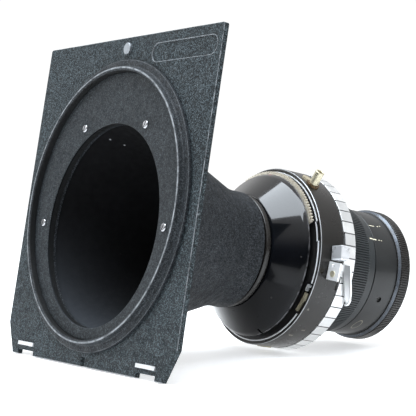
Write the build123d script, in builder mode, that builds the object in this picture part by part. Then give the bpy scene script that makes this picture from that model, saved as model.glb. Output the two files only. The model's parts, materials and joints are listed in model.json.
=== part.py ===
from build123d import *
from math import atan2, cos, degrees, radians, sin
import os

# A lens in a size 0 leaf shutter, carried by an extension cone on a 96 x 99 mm lens board.
# It lies as it is put down on a table, on the board's lower edge and on the rim of the speed ring.
# Stations are distances forward of the board's rear face, along the lens axis.
# Angles turn anticlockwise from +X for someone who looks forward through the board.

os.makedirs("parts", exist_ok=True)

# ---------------------------------------------------------------- driving dimensions, mm
board_width = 96.0
board_height = 99.0
board_thick = 1.6
board_centre_rise = 1.6     # board centre above the light-trap ring's centre
axis_drop = 6.0             # lens axis below the light-trap ring's centre
opening_radius = 30.6       # clear opening through the board
trap_radius = 43.9          # light-trap ring, outside
trap_inner = 40.3
trap_height = 2.8
clamp_thick = 0.6           # plate on the rear face that clamps the cone
screw_circle = 34.2

neck_radius = 18.5          # extension cone, at the shutter
cone_root_radius = 33.4
cone_length = 47.5
thread_radius = 16.25       # shutter's rear thread in the cone's neck
cell_radius = 14.75         # thread of the front and rear lens cells

cover_station = 50.4        # rear cover of the shutter starts here
plate_station = 61.0        # shutter's base plate
plate_radius = 27.5
case_radius = 28.65
case_rear = 61.2
case_front = 70.4
ring_rear = 70.72           # speed ring
ring_front = 75.4
ring_radius = 28.7
facet_count = 45
stop_radius = 12.4          # clear radius behind the blades

grip_rear = 79.0            # front lens group
grip_radius = 21.6
lip_front = 91.3
barrel_radius = 20.75
barrel_rear = 91.6
barrel_front = 101.0
bezel_front = 106.2
bezel_radius = 21.9
filter_radius = 20.25
ridge_count = 168

blade_count = 5
blade_pivot_radius = 24.0
blade_swing = 50.0          # from closed to clear of the stop
blade_thick = 0.15
blade_pitch = 0.3
iris_rest_swing = 25.0      # the stop is set half-way at rest
iris_station = 62.15
shutter_station = 64.65
pivot_radius = 0.6
running = 0.05              # radial clearance of a running fit

# ---------------------------------------------------------------- the tilted lens frame
board_bottom = board_height / 2 - board_centre_rise
tilt = atan2(board_bottom - axis_drop - ring_radius, ring_front - board_thick)
forward = Vector(0, cos(tilt), -sin(tilt))
upward = Vector(0, sin(tilt), cos(tilt))
trap_centre = Vector(0, 0, 0)
lens_centre = upward * -axis_drop


def station(distance, centre=lens_centre):
    """Plane across the lens axis, seen from behind: X to the right, Y up."""
    return Plane(origin=centre + forward * distance, x_dir=(1, 0, 0), z_dir=-forward)


def outward(angle):
    """Unit vector away from the lens axis."""
    return Vector(1, 0, 0) * cos(radians(angle)) + upward * sin(radians(angle))


def facing(angle, distance, radius):
    """Plane that faces outward at an angle: X forward along the lens axis."""
    centre = lens_centre + forward * distance + outward(angle) * radius
    return Plane(origin=centre, x_dir=forward, z_dir=outward(angle))


def polar(radius, angle):
    return (radius * cos(radians(angle)), radius * sin(radians(angle)))


def turn(*outline, centre=lens_centre, mode=Mode.ADD):
    """Revolve a closed outline of (radius, station) points round the lens axis."""
    with BuildSketch(Plane(origin=centre, x_dir=(1, 0, 0), z_dir=upward)) as profile:
        with BuildLine():
            Polyline(*outline, close=True)
        make_face()
    revolve(profile.sketch, Axis(centre, forward), mode=mode)


def tube(inner, outer, rear, front, mode=Mode.ADD):
    """A plain ring between two radii and two stations."""
    turn((inner, rear), (outer, rear), (outer, front), (inner, front), mode=mode)


def sector(inner, outer, start, end, rear, front, mode=Mode.ADD):
    """Part of a ring between two angles."""
    with BuildSketch(station(rear)) as slice_:
        with BuildLine():
            CenterArc((0, 0), outer, start, end - start)
            Line(polar(outer, end), polar(inner, end))
            CenterArc((0, 0), inner, end, start - end)
            Line(polar(inner, start), polar(outer, start))
        make_face()
    extrude(slice_.sketch, amount=rear - front, mode=mode)


def ridged(outer, depth, count, rear, front):
    """A drum with straight ridges all round, from one closed saw-tooth outline."""
    step = 360 / count
    tooth = ((outer - depth, 0.05), (outer, 0.25), (outer, 0.7), (outer - depth, 0.9))
    corners = [polar(radius, (turn_ + part) * step) for turn_ in range(count) for radius, part in tooth]
    with BuildSketch(station(rear)) as star:
        with BuildLine():
            Polyline(*corners, close=True)
        make_face()
    extrude(star.sketch, amount=rear - front)


def save(piece, name):
    """Label a finished piece and write it to its own file."""
    piece.part.label = name
    export_step(piece.part, f"parts/{name}.step")


# ---------------------------------------------------------------- the lens board
notch_centre, notch_width, notch_depth = 34.5, 9.6, 1.4
slot_width, slot_depth, slot_offset = 1.8, 2.7, 0.8
foot_cut_width, foot_cut_height = 5.0, 9.3
label_width, label_height, label_depth = 32.4, 5.6, 0.3
label_place = (29.8, 43.5 + board_centre_rise)
screw_angles = (0, 60, 120, 180)
screw_shaft_radius = 1.0
screw_head_radius, screw_head_height = 1.25, 0.6
flange_radius, flange_front = 38.0, 3.4


def screw_places():
    return [polar(screw_circle, angle) for angle in screw_angles]


def drill_screw_holes(rear, front):
    """Clearance holes for the four flange screws."""
    with BuildSketch(station(rear)) as holes:
        with Locations(*screw_places()):
            Circle(screw_shaft_radius + running)
    extrude(holes.sketch, amount=rear - front, mode=Mode.SUBTRACT)


with BuildPart() as lens_board:
    with BuildSketch(station(0, trap_centre)) as sheet:
        with Locations((0, board_centre_rise)):
            Rectangle(board_width, board_height)
        fillet(sheet.vertices().group_by(Axis.Y)[-1], 0.8)
        for side in (-board_width / 2, board_width / 2):
            inboard = side - foot_cut_width if side > 0 else side + foot_cut_width
            Polygon(
                (side, -board_bottom), (inboard, -board_bottom), (side, foot_cut_height - board_bottom),
                align=None, mode=Mode.SUBTRACT,
            )
        with Locations((-notch_centre, -board_bottom), (notch_centre, -board_bottom)):
            Rectangle(notch_width, 2 * notch_depth, mode=Mode.SUBTRACT)
        with Locations((slot_offset, -board_bottom)):
            Rectangle(slot_width, 2 * slot_depth, mode=Mode.SUBTRACT)
        with Locations((0, -axis_drop)):
            Circle(opening_radius, mode=Mode.SUBTRACT)
    extrude(amount=-board_thick)
    chamfer(lens_board.faces().sort_by(Axis(trap_centre, forward))[0].outer_wire().edges(), 0.15)
    with BuildSketch(station(0, trap_centre)):
        with Locations(label_place):
            SlotOverall(label_width, label_height)
    extrude(amount=-label_depth, mode=Mode.SUBTRACT)
    drill_screw_holes(-1, board_thick + 1)
save(lens_board, "lens_board")

with BuildPart() as light_trap_ring:
    turn(
        (trap_inner, 0), (trap_radius, 0), (trap_radius, -1.0), (trap_radius - 0.15, -1.15),
        (41.75, -1.15), (41.65, -2.5), (41.35, -trap_height), (40.65, -trap_height),
        (trap_inner, -2.45), centre=trap_centre,
    )
save(light_trap_ring, "light_trap_ring")

with BuildPart() as clamp_plate:
    with BuildSketch(station(0, trap_centre)):
        Circle(trap_inner - running)
        with Locations((0, -axis_drop)):
            Circle(opening_radius, mode=Mode.SUBTRACT)
    extrude(amount=clamp_thick)
    drill_screw_holes(-1, board_thick)
save(clamp_plate, "clamp_plate")

with BuildPart() as flange_screws:
    with BuildSketch(station(-clamp_thick)):
        with Locations(*screw_places()):
            Circle(screw_head_radius)
    extrude(amount=screw_head_height)
    domes = flange_screws.faces().group_by(Axis(lens_centre, forward))[0]
    fillet(domes.edges(), 0.42)
    with BuildSketch(station(-clamp_thick - screw_head_height)):
        with Locations(*screw_places()):
            Rectangle(3 * screw_head_radius, 0.35, rotation=62)
    extrude(amount=-0.35, mode=Mode.SUBTRACT)
    with BuildSketch(station(-clamp_thick)):
        with Locations(*screw_places()):
            Circle(screw_shaft_radius)
    extrude(amount=-(clamp_thick + flange_front - 0.2))
save(flange_screws, "flange_screws")

pad_width, pad_height, pad_rise = 9.7, 1.15, 0.5
pad_place = -board_bottom + 3.45
with BuildPart() as board_pads:
    with BuildSketch(station(0, trap_centre)):
        with Locations((-notch_centre, pad_place), (notch_centre, pad_place)):
            Rectangle(pad_width, pad_height)
    extrude(amount=pad_rise)
    chamfer(board_pads.faces().group_by(Axis(trap_centre, forward))[0].edges(), 0.12)
save(board_pads, "board_pads")

rivet_radius, rivet_rise = 1.8, 0.8
with BuildPart() as board_rivet:
    with BuildSketch(station(0, trap_centre)):
        with Locations((0.2, 45.9 + board_centre_rise)):
            Circle(rivet_radius)
    extrude(amount=rivet_rise)
    chamfer(board_rivet.faces().sort_by(Axis(trap_centre, forward))[0].edges(), 0.12)
save(board_rivet, "board_rivet")

# ---------------------------------------------------------------- the extension cone
cone_wall_station = 3.0     # the bore starts to narrow here
neck_start = 40.6
neck_bore = 16.9
with BuildPart() as extension_cone:
    with BuildSketch(Plane(origin=lens_centre, x_dir=(1, 0, 0), z_dir=upward)) as wall:
        with BuildLine():
            Polyline(
                (opening_radius, board_thick), (flange_radius, board_thick), (flange_radius, flange_front),
                (cone_root_radius, flange_front), (neck_radius, neck_start),
                (neck_radius, cone_length - 0.4), (neck_radius - 0.35, cone_length),
                (thread_radius, cone_length), (thread_radius, 41.5), (neck_bore, 41.5),
                (neck_bore, 39.4), (opening_radius, cone_wall_station), close=True,
            )
        make_face()
        bends = wall.vertices().filter_by(lambda v: abs(v.Y - neck_start) < 0.1)
        fillet(bends, 30)
        roots = wall.vertices().filter_by(lambda v: abs(v.X - cone_root_radius) < 0.1)
        fillet(roots, 1.5)
    revolve(axis=Axis(lens_centre, forward))
    drill_screw_holes(0, flange_front - 0.2)
save(extension_cone, "extension_cone")

with BuildPart() as lock_ring:
    turn((thread_radius, 48.0), (17.5, 48.0), (18.05, 48.35), (17.95, 49.9), (17.7, 50.3), (thread_radius, 50.3))
save(lock_ring, "lock_ring")

# ---------------------------------------------------------------- shutter, rear side
hub_radius = 17.4
cover_edge_station, cover_edge_radius = 57.2, 25.5
cover_back_station, cover_back_radius = 58.4, 26.2
with BuildPart() as rear_cover:
    turn(
        (thread_radius, cover_station), (18.1, cover_station), (18.45, cover_station + 0.25),
        (cover_edge_radius, cover_edge_station), (cover_back_radius, cover_back_station),
        (cover_back_radius, 58.75), (24.9, 58.75), (24.5, 57.6), (17.9, 51.4), (thread_radius, 51.4),
    )
    with BuildSketch(facing(-70, cover_back_station - 0.9, cover_back_radius + 1)):
        Rectangle(3.0, 0.8)
    extrude(amount=-2.2, mode=Mode.SUBTRACT)
save(rear_cover, "rear_cover")

window_start, window_end = -39.0, -16.0
with BuildPart() as shutter_plate:
    turn(
        (cell_radius, 42.6), (thread_radius - 0.03, 42.6), (thread_radius - 0.03, 51.5),
        (hub_radius, 51.5), (hub_radius, plate_station), (plate_radius, plate_station),
        (plate_radius, plate_station + 1), (stop_radius, plate_station + 1),
        (stop_radius, plate_station), (cell_radius, plate_station),
    )
    sector(26.95, 28, 12, 25.5, plate_station - 1, plate_station + 2, mode=Mode.SUBTRACT)
    sector(25.2, 28, window_start, window_end, plate_station - 1, plate_station + 2, mode=Mode.SUBTRACT)
save(shutter_plate, "shutter_plate")

tooth_start, tooth_count, tooth_pitch = 25.0, 40, 2.3
tooth_tip, tooth_root = 27.25, 26.4
aperture_rear, aperture_front = 59.1, 60.0
with BuildPart() as aperture_ring:
    tube(hub_radius + running, 24.0, aperture_rear, aperture_front)
    teeth = [
        polar(radius, tooth_start + (tooth + part) * tooth_pitch)
        for tooth in range(tooth_count)
        for radius, part in ((tooth_root, 0.1), (tooth_tip, 0.35), (tooth_tip, 0.65), (tooth_root, 0.9))
    ]
    with BuildSketch(station(aperture_rear)):
        with BuildLine():
            Polyline(*teeth)
            Line(teeth[-1], polar(23.5, tooth_start + tooth_count * tooth_pitch))
            CenterArc((0, 0), 23.5, tooth_start + tooth_count * tooth_pitch, -tooth_count * tooth_pitch)
            Line(polar(23.5, tooth_start), teeth[0])
        make_face()
    extrude(amount=aperture_rear - aperture_front)
save(aperture_ring, "aperture_ring")

with BuildPart() as sync_contact:
    sector(25.9, 26.6, -38.0, -23.5, 61.0, 61.9)
    sector(26.6, 27.4, -28.5, -25.5, 60.9, 61.5)
    sector(26.1, 27.3, -25.5, -23.5, 61.0, 61.9)
save(sync_contact, "sync_contact")

with BuildPart() as contact_clip:
    sector(25.8, 26.3, -22.5, -17.5, 60.9, 61.9)
    sector(26.3, 27.3, -19.0, -17.5, 60.9, 61.9)
save(contact_clip, "contact_clip")

# ---------------------------------------------------------------- shutter case
case_wall = 1.05
flash_angle, flash_station = 55.5, 64.4
flash_outer, flash_neck, flash_bore, flash_top = 1.45, 1.15, 1.0, 33.8
release_angle, release_station = -90.0, 67.0
release_outer, release_bore, release_inner_end = 2.3, 1.5, 25.0
front_wall = 69.8
sleeve_outer = 16.2
with BuildPart() as shutter_case:
    turn(
        (case_radius - case_wall, case_rear), (case_radius - 0.25, case_rear), (case_radius, case_rear + 0.3),
        (case_radius, case_front - 0.15), (case_radius - 0.15, case_front),
        (sleeve_outer + 0.03, case_front), (sleeve_outer + 0.03, front_wall),
        (case_radius - case_wall, front_wall),
    )
    sector(26.5, 29, -17.0, -4.0, case_front - 0.9, case_front + 1, mode=Mode.SUBTRACT)
    with BuildSketch(facing(flash_angle, flash_station, case_radius + 1)):
        Circle(flash_neck + 0.02)
    extrude(amount=-3, mode=Mode.SUBTRACT)
    with BuildSketch(facing(release_angle, release_station, case_radius + 1)):
        Circle(release_outer)
    extrude(amount=-3, mode=Mode.SUBTRACT)
save(shutter_case, "shutter_case")

with BuildPart() as front_sleeve:
    tube(cell_radius, sleeve_outer, 67.4, 76.2)
save(front_sleeve, "front_sleeve")

with BuildPart() as speed_ring:
    with BuildSketch(station(ring_rear)):
        RegularPolygon(ring_radius + 0.05, facet_count, rotation=12)
        Circle(27.2, mode=Mode.SUBTRACT)
    extrude(amount=ring_rear - ring_front)
    chamfer(speed_ring.faces().sort_by(Axis(lens_centre, forward))[-1].outer_wire().edges(), 0.25)
    tube(sleeve_outer + running, 27.5, ring_front - 1.0, ring_front - 0.05)
    with BuildSketch(station(ring_rear)):
        with PolarLocations(ring_radius + 0.05, facet_count, start_angle=12):
            Rectangle(0.34, 0.3)
    extrude(amount=ring_rear - ring_front, mode=Mode.SUBTRACT)
    sector(26.0, 30.0, 12.0, 20.0, ring_rear - 1, ring_rear + 0.45, mode=Mode.SUBTRACT)
save(speed_ring, "speed_ring")

with BuildPart() as front_plate:
    turn(
        (sleeve_outer + 0.03, 75.5), (24.5, 75.5), (24.5, 76.0), (24.2, 76.25), (22.0, 76.25),
        (21.8, 76.05), (sleeve_outer + 0.03, 76.05),
    )
save(front_plate, "front_plate")

# ---------------------------------------------------------------- flash and release sockets
with BuildPart() as flash_socket:
    with BuildSketch(facing(flash_angle, flash_station, case_radius - 0.5)):
        Circle(flash_neck)
    extrude(amount=1.25)
    with BuildSketch(facing(flash_angle, flash_station, case_radius + 0.75)):
        Circle(flash_outer)
    extrude(amount=flash_top - case_radius - 0.75)
    with BuildSketch(facing(flash_angle, flash_station, case_radius + 1.1)):
        Circle(flash_bore)
    extrude(amount=flash_top - case_radius, mode=Mode.SUBTRACT)
    mouth = flash_socket.faces().sort_by(Axis(lens_centre, outward(flash_angle)))[-1]
    chamfer(mouth.edges(), 0.12)
save(flash_socket, "flash_socket")

with BuildPart() as socket_collar:
    with BuildSketch(facing(flash_angle, flash_station, case_radius - 1)):
        Circle(2.1)
        with Locations((0, 2.7)):
            SlotOverall(6.2, 2.2, rotation=90)
        Circle(flash_neck + 0.02, mode=Mode.SUBTRACT)
    extrude(amount=4)
    tube(case_radius, case_radius + 0.6, 60, 69, mode=Mode.INTERSECT)
save(socket_collar, "socket_collar")

with BuildPart() as flash_pin:
    with BuildSketch(facing(flash_angle, flash_station, case_radius + 1.1)):
        Circle(0.38)
    extrude(amount=3.6)
save(flash_pin, "flash_pin")

with BuildPart() as release_socket:
    with BuildSketch(facing(release_angle, release_station, release_inner_end)):
        Circle(release_outer - 0.02)
        Circle(release_bore, mode=Mode.SUBTRACT)
    extrude(amount=3.9)
    rim = release_socket.faces().sort_by(Axis(lens_centre, outward(release_angle)))[-1]
    chamfer(rim.inner_wires()[0].edges(), 0.35)
save(release_socket, "release_socket")

# ---------------------------------------------------------------- cocking and release levers
lever_gap_rear, lever_gap_front = case_front + 0.05, ring_rear - 0.05
tab_angle, tab_width = 5.3, 4.4
with BuildPart() as cocking_lever:
    with BuildSketch(facing(tab_angle, 66.95, 28.85)):
        Rectangle(3.5, tab_width)
    extrude(amount=4.6)
    chamfer(cocking_lever.edges(), 0.2)
    with BuildSketch(facing(tab_angle, 69.05, 28.8)):
        Rectangle(3.2, tab_width - 0.8)
    extrude(amount=0.6)
    sector(24.4, 29.3, tab_angle - 3.2, tab_angle + 3.2, lever_gap_rear, lever_gap_front)
save(cocking_lever, "cocking_lever")

flag_angle = -5.5
strip_inner, strip_outer = 29.1, 29.75


def strip_shape(*corners):
    """A curved sheet over the speed ring, from (station, angle) corners."""
    middle = -12
    flat = [(place, strip_inner * sin(radians(angle - middle))) for place, angle in corners]
    with BuildSketch(facing(middle, 0, 20)) as pattern:
        with BuildLine():
            Polyline(*flat, close=True)
        make_face()
    return extrude(pattern.sketch, amount=15, mode=Mode.PRIVATE)


with BuildPart() as release_lever:
    tube(strip_inner, strip_outer, 64, 78)
    add(
        strip_shape(
            (64.7, -0.5), (72.8, -0.5), (74.0, -9), (75.6, -17), (76.4, -22), (76.2, -24.5), (75.2, -25.3),
            (75.0, -24.6), (75.5, -23.6), (74.0, -21), (72.4, -14), (71.1, -9), (70.2, -4.4), (64.7, -4.4),
        ),
        mode=Mode.INTERSECT,
    )
with BuildPart() as lever_lip:
    tube(strip_outer - 0.1, strip_outer + 0.35, 64, 78)
    add(
        strip_shape(
            (72.3, -0.5), (72.8, -0.5), (74.0, -9), (75.6, -17), (76.4, -22), (76.2, -24.5), (75.2, -25.3),
            (75.05, -24.7), (75.7, -23.6), (75.8, -21.8), (75.05, -17), (73.45, -9),
        ),
        mode=Mode.INTERSECT,
    )
with BuildPart() as lever_flag:
    with BuildSketch(station(64.7)):
        with Locations(polar(31.5, flag_angle)):
            Rectangle(5.2, 5.6, rotation=flag_angle)
        with Locations(polar(30.9, -2.2)):
            Circle(0.55, mode=Mode.SUBTRACT)
        with Locations(polar(31.5, -7.0)):
            Circle(0.7 + 0.02, mode=Mode.SUBTRACT)
    extrude(amount=-0.7)
    sector(24.4, 29.5, -9.0, -5.0, lever_gap_rear, lever_gap_front)
    sector(28.9, 29.5, -8.0, -5.0, 69.6, lever_gap_front)
    sector(28.9, 29.5, -6.0, -3.8, 69.6, lever_gap_front)
    add(release_lever.part)
    add(lever_lip.part)
release_lever = lever_flag
save(release_lever, "release_lever")

with BuildPart() as lever_rivet:
    with BuildSketch(station(64.35)):
        with Locations(polar(31.5, -7.0)):
            Circle(0.95)
    extrude(amount=-0.35)
    with BuildSketch(station(64.35)):
        with Locations(polar(31.5, -7.0)):
            Circle(0.7)
    extrude(amount=-1.4)
save(lever_rivet, "lever_rivet")

# ---------------------------------------------------------------- blades
swing_angle = radians(blade_swing)
swung_centre = (
    blade_pivot_radius * (1 - cos(swing_angle)),
    blade_pivot_radius * sin(swing_angle),
)
blade_reach = 22.5          # the open blades stay inside the ring of pivots
blade_cover = 13.4          # the closed blades cover the stop
with BuildSketch() as blade_shape:
    with Locations(swung_centre):
        Circle(blade_reach)
        Circle(stop_radius + 0.1, mode=Mode.SUBTRACT)
    Circle(blade_cover, mode=Mode.INTERSECT)
    with Locations((blade_pivot_radius - 7.2, -1.2)):
        SlotCenterToCenter(14.6, 3.4, rotation=degrees(atan2(2.4, 14.4)))
    with Locations((blade_pivot_radius, 0)):
        Circle(pivot_radius + running, mode=Mode.SUBTRACT)


def blade(index, first_station, swing):
    """One blade in its own layer, turned about its pivot from the closed place."""
    pivot_axis = Axis((blade_pivot_radius, 0, 0), (0, 0, 1))
    shape = blade_shape.sketch.rotate(pivot_axis, swing).rotate(Axis.Z, 360 / blade_count * index)
    with BuildPart() as leaf:
        with BuildSketch(station(first_station + index * blade_pitch)):
            add(shape)
        extrude(amount=-blade_thick)
    return leaf


for index in range(blade_count):
    iris_blade = blade(index, iris_station, iris_rest_swing)
    save(iris_blade, f"iris_blade_{index + 1}")
    shutter_blade = blade(index, shutter_station, 0)
    save(shutter_blade, f"shutter_blade_{index + 1}")


def pivots(rear, front):
    """The ring of posts that one set of blades turns on."""
    with BuildPart() as posts:
        with BuildSketch(station(rear)):
            with PolarLocations(blade_pivot_radius, blade_count):
                Circle(pivot_radius)
        extrude(amount=rear - front)
    return posts


middle_plate_rear, middle_plate_front = 63.9, 64.45
save(pivots(plate_station + 1, middle_plate_rear), "iris_pivots")
save(pivots(middle_plate_front, 66.3), "shutter_pivots")

with BuildPart() as blade_plate:
    tube(stop_radius, plate_radius, middle_plate_rear, middle_plate_front)
save(blade_plate, "blade_plate")

with BuildPart() as drive_ring:
    tube(sleeve_outer + running, 21.5, 67.5, 68.1)
    with BuildSketch(station(67.5)):
        with PolarLocations(19.2, blade_count):
            SlotCenterToCenter(3.6, 1.2, rotation=70)
    extrude(amount=-0.6, mode=Mode.SUBTRACT)
save(drive_ring, "drive_ring")

# ---------------------------------------------------------------- front lens group
ridge_depth = 0.42
with BuildPart() as front_grip:
    ridged(grip_radius, ridge_depth, ridge_count, grip_rear, 88.4)
    turn((12, 76.4), (18.9, 76.4), (18.9, 79.2), (12, 79.2))
    turn(
        (12, 88.3), (barrel_radius + 0.1, 88.3), (barrel_radius + 0.1, lip_front - 0.15),
        (20.6, lip_front), (12, lip_front),
    )
    tube(12, cell_radius - 0.03, 68.6, 76.5)
    turn((0, 60), (11.6, 60), (11.6, 79), (15.2, 85.3), (16.6, 85.3), (16.6, 95), (0, 95), mode=Mode.SUBTRACT)
save(front_grip, "front_grip")

with BuildPart() as front_barrel:
    turn(
        (18.1, barrel_rear), (20.55, barrel_rear), (barrel_radius, barrel_rear + 0.15),
        (barrel_radius, barrel_front), (18.1, barrel_front),
    )
    tube(16.0, 18.2, barrel_rear, 92.4)
    with BuildSketch(facing(-24, 96.3, barrel_radius + 1)):
        Circle(0.95)
    extrude(amount=-2.4, mode=Mode.SUBTRACT)
save(front_barrel, "front_barrel")

with BuildPart() as set_screw:
    with BuildSketch(facing(-24, 96.3, 19.35)):
        Circle(0.93)
    extrude(amount=0.9)
    with BuildSketch(facing(-24, 96.3, 20.25)):
        Rectangle(2.4, 0.3)
    extrude(amount=-0.35, mode=Mode.SUBTRACT)
save(set_screw, "set_screw")

with BuildPart() as front_bezel:
    ridged(bezel_radius, 0.3, ridge_count, 102.1, 105.8)
    turn(
        (18.3, barrel_front + 0.1), (20.8, barrel_front + 0.1), (21.75, 101.9), (21.5, 102.2),
        (21.5, 105.7), (21.65, 105.9), (21.3, bezel_front), (18.3, bezel_front),
    )
    turn((0, 102.8), (filter_radius, 102.8), (filter_radius, 107), (0, 107), mode=Mode.SUBTRACT)
    turn((0, 100), (17.4, 100), (17.4, 101.9), (18.6, 102.8), (0, 102.8), mode=Mode.SUBTRACT)
save(front_bezel, "front_bezel")


def sag(radius, bulge, at):
    """How far a spherical face has fallen back from its vertex at a radius."""
    sphere = (radius ** 2 + bulge ** 2) / (2 * abs(bulge))
    return (sphere - (sphere ** 2 - at ** 2) ** 0.5) * (1 if bulge > 0 else -1)


def lens_element(radius, rear, front, rear_bulge, front_bulge):
    """Glass with a ground edge between two stations and two spherical faces."""
    rear_vertex, front_vertex = rear - rear_bulge, front + front_bulge
    half = radius / 2
    rear_middle = rear_vertex + sag(radius, rear_bulge, half)
    front_middle = front_vertex - sag(radius, front_bulge, half)
    with BuildPart() as glass:
        with BuildSketch(Plane(origin=lens_centre, x_dir=(1, 0, 0), z_dir=upward)):
            with BuildLine():
                ThreePointArc((radius, rear), (half, rear_middle), (0, rear_vertex))
                Line((0, rear_vertex), (0, front_vertex))
                ThreePointArc((0, front_vertex), (half, front_middle), (radius, front))
                Line((radius, front), (radius, rear))
            make_face()
        revolve(axis=Axis(lens_centre, forward))
    return glass


save(lens_element(17.95, 96.0, 98.2, -1.4, 3.2), "front_glass_1")
save(lens_element(16.5, 85.6, 88.4, 1.6, -1.2), "front_glass_2")
save(lens_element(12.2, 55.6, 57.8, -1.0, 1.4), "rear_glass_1")
save(lens_element(12.2, 46.2, 48.4, 2.0, 1.2), "rear_glass_2")

with BuildPart() as front_spacer:
    tube(16.7, 18.05, 92.45, 95.95)
save(front_spacer, "front_spacer")

with BuildPart() as front_retainer:
    turn((16.9, 98.75), (18.0, 98.3), (18.0, 100.1), (16.9, 100.1))
save(front_retainer, "front_retainer")

with BuildPart() as inner_retainer:
    tube(15.2, 16.55, 88.45, 90.2)
save(inner_retainer, "inner_retainer")

with BuildPart() as rear_cell:
    turn(
        (12.25, 43.6), (13.6, 43.6), (13.9, 43.9), (13.9, 52.0), (cell_radius - 0.03, 52.0),
        (cell_radius - 0.03, 60.6), (11.4, 60.6), (11.4, 58.0), (12.25, 58.0),
    )
save(rear_cell, "rear_cell")

with BuildPart() as rear_spacer:
    tube(11.4, 12.2, 48.6, 55.5)
save(rear_spacer, "rear_spacer")

with BuildPart() as rear_retainer:
    tube(11.0, 12.2, 44.1, 45.75)
save(rear_retainer, "rear_retainer")

print(f"tilt {degrees(tilt):.3f} degrees")
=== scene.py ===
import json
from math import cos, pi, radians, sin

import bmesh
import bpy
from mathutils import Matrix, Vector


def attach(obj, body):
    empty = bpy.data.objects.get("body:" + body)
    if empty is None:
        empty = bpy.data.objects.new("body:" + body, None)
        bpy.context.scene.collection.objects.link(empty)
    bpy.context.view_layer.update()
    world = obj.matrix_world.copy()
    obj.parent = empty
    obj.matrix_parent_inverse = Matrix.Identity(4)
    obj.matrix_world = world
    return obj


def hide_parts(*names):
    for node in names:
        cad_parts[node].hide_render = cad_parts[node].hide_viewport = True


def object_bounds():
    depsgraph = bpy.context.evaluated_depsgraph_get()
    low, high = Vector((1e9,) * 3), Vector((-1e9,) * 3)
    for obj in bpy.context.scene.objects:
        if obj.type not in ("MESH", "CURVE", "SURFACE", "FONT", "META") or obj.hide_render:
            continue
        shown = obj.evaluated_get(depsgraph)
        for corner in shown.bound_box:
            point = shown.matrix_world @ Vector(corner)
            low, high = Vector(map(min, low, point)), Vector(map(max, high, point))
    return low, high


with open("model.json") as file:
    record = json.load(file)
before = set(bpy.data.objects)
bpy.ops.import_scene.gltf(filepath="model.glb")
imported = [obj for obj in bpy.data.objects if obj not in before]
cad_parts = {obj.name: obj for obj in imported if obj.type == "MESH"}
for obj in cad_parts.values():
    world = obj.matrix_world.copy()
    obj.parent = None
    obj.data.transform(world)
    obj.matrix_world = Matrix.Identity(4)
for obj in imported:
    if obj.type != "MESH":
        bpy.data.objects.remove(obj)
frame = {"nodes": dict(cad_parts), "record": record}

cad_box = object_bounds()
nodes = frame["nodes"]
MM = 0.001
PER_MM = 1000.0          # mm in a metre, for node maths
FACET_START = 12         # degrees: where the speed ring's first facet begins
FACET_STEP = 8           # degrees from one facet to the next
FACETS = 45
SENSOR = 36.0            # mm, the camera's width
LENS_LENGTH = 117.36346  # mm, the camera's
AIM_LEFT, AIM_DOWN = 0.00383424, 0.01600059    # slopes of the camera's aim off the look direction

# ------------------------------------------------------------------ the lens axis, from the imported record
joints = {j["name"]: j for j in frame["record"]["behaviour"]["joints"]}
X = Vector((1, 0, 0))
F = -Vector(joints["speed_turn"]["axis"]).normalized()        # forward, along the lens axis
U = X.cross(F).normalized()
TRAP = Vector((0, 0, 0))                                      # centre of the light-trap ring
LENS = Vector(joints["speed_turn"]["pos_m"]) - F * 73.0 * MM  # the joint sits at station 73


def at(radius, angle, w, centre=LENS):
    """A point from a radius in mm, an angle in degrees seen from behind, and a station in mm."""
    a = radians(angle)
    return centre + (X * cos(a) + U * sin(a)) * radius * MM + F * w * MM


# ------------------------------------------------------------------ mesh helpers
def place(name, bm, material, body, *replaced, slot=None, sharp=38, weighted=False):
    bmesh.ops.recalc_face_normals(bm, faces=bm.faces)
    mesh = bpy.data.meshes.new(name)
    bm.to_mesh(mesh)
    bm.free()
    mesh.shade_smooth()
    mesh.set_sharp_from_angle(angle=radians(sharp))
    obj = bpy.data.objects.new(name, mesh)
    bpy.context.scene.collection.objects.link(obj)
    mesh.materials.append(material)
    if weighted:
        obj.modifiers.new("weighted", "WEIGHTED_NORMAL").keep_sharp = True
    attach(obj, body)
    if replaced:
        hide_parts(*replaced)
    return obj


def eased(outline, size=0.12, steps=3):
    """Rounds each corner of a closed (radius, station) outline; a third number sets its own size."""
    count = len(outline)
    result = []
    for i, corner in enumerate(outline):
        p = Vector(corner[:2])
        a = Vector(outline[i - 1][:2]) - p
        b = Vector(outline[(i + 1) % count][:2]) - p
        r = corner[2] if len(corner) > 2 else size
        r = min(r, a.length * 0.45, b.length * 0.45)
        if r < 0.005 or p.x < 1e-6:
            result.append(p)
            continue
        start = p + a.normalized() * r
        end = p + b.normalized() * r
        for k in range(steps + 1):
            t = k / steps
            result.append(start * (1 - t) ** 2 + p * 2 * t * (1 - t) + end * t ** 2)
    return result


def lathe(name, outline, material, body, *replaced, slot=None, centre=LENS, turns=256, size=0.12, sharp=38):
    """A closed outline revolved round the lens axis, with its corners eased."""
    profile = eased(outline, size)
    bm = bmesh.new()
    rings = []
    for point in profile:
        if point.x < 1e-6:
            rings.append([bm.verts.new(centre + F * point.y * MM)])
        else:
            rings.append([bm.verts.new(at(point.x, 360 * k / turns, point.y, centre)) for k in range(turns)])
    for i, ring in enumerate(rings):
        nxt = rings[(i + 1) % len(rings)]
        for k in range(turns):
            m = (k + 1) % turns
            corners = [ring[k % len(ring)], ring[m % len(ring)], nxt[m % len(nxt)], nxt[k % len(nxt)]]
            unique = list(dict.fromkeys(corners))
            if len(unique) >= 3:
                bm.faces.new(unique)
    return place(name, bm, material, body, *replaced, slot=slot, sharp=sharp)


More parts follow.
